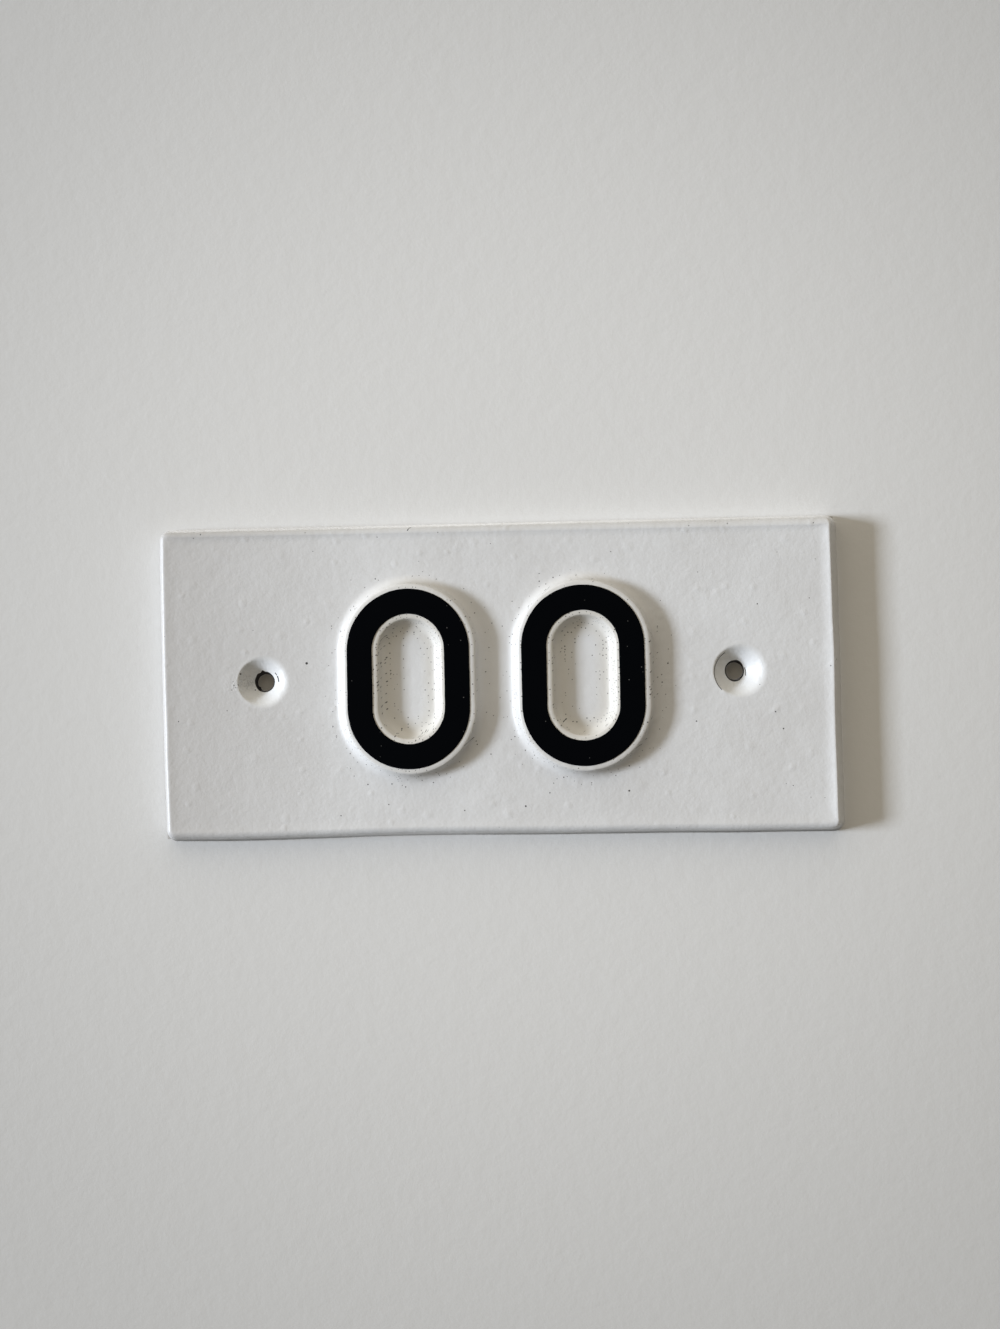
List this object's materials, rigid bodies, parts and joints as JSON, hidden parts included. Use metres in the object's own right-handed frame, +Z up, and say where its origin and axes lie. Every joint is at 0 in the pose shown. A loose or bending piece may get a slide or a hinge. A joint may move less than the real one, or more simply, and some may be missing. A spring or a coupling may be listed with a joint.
{
  "type": "bathroom wall plaque",
  "caption": "Cast-iron wall plaque with rounded edges, raised black-faced oval numerals on a white coat, and countersunk screw holes at the ends.",
  "frame": {"origin": "middle of the flat back face, midway between the two screw holes", "axes": "+X along the plaque's length to the viewer's right, +Y out of the back into the wall or door, +Z up"},
  "size_m": [0.15, 0.008, 0.07],
  "materials": {
    "white_coat": "satin",
    "black_enamel": "satin"
  },
  "bodies": {
    "root": {"plaque": "white_coat"}
  },
  "joints": []
}
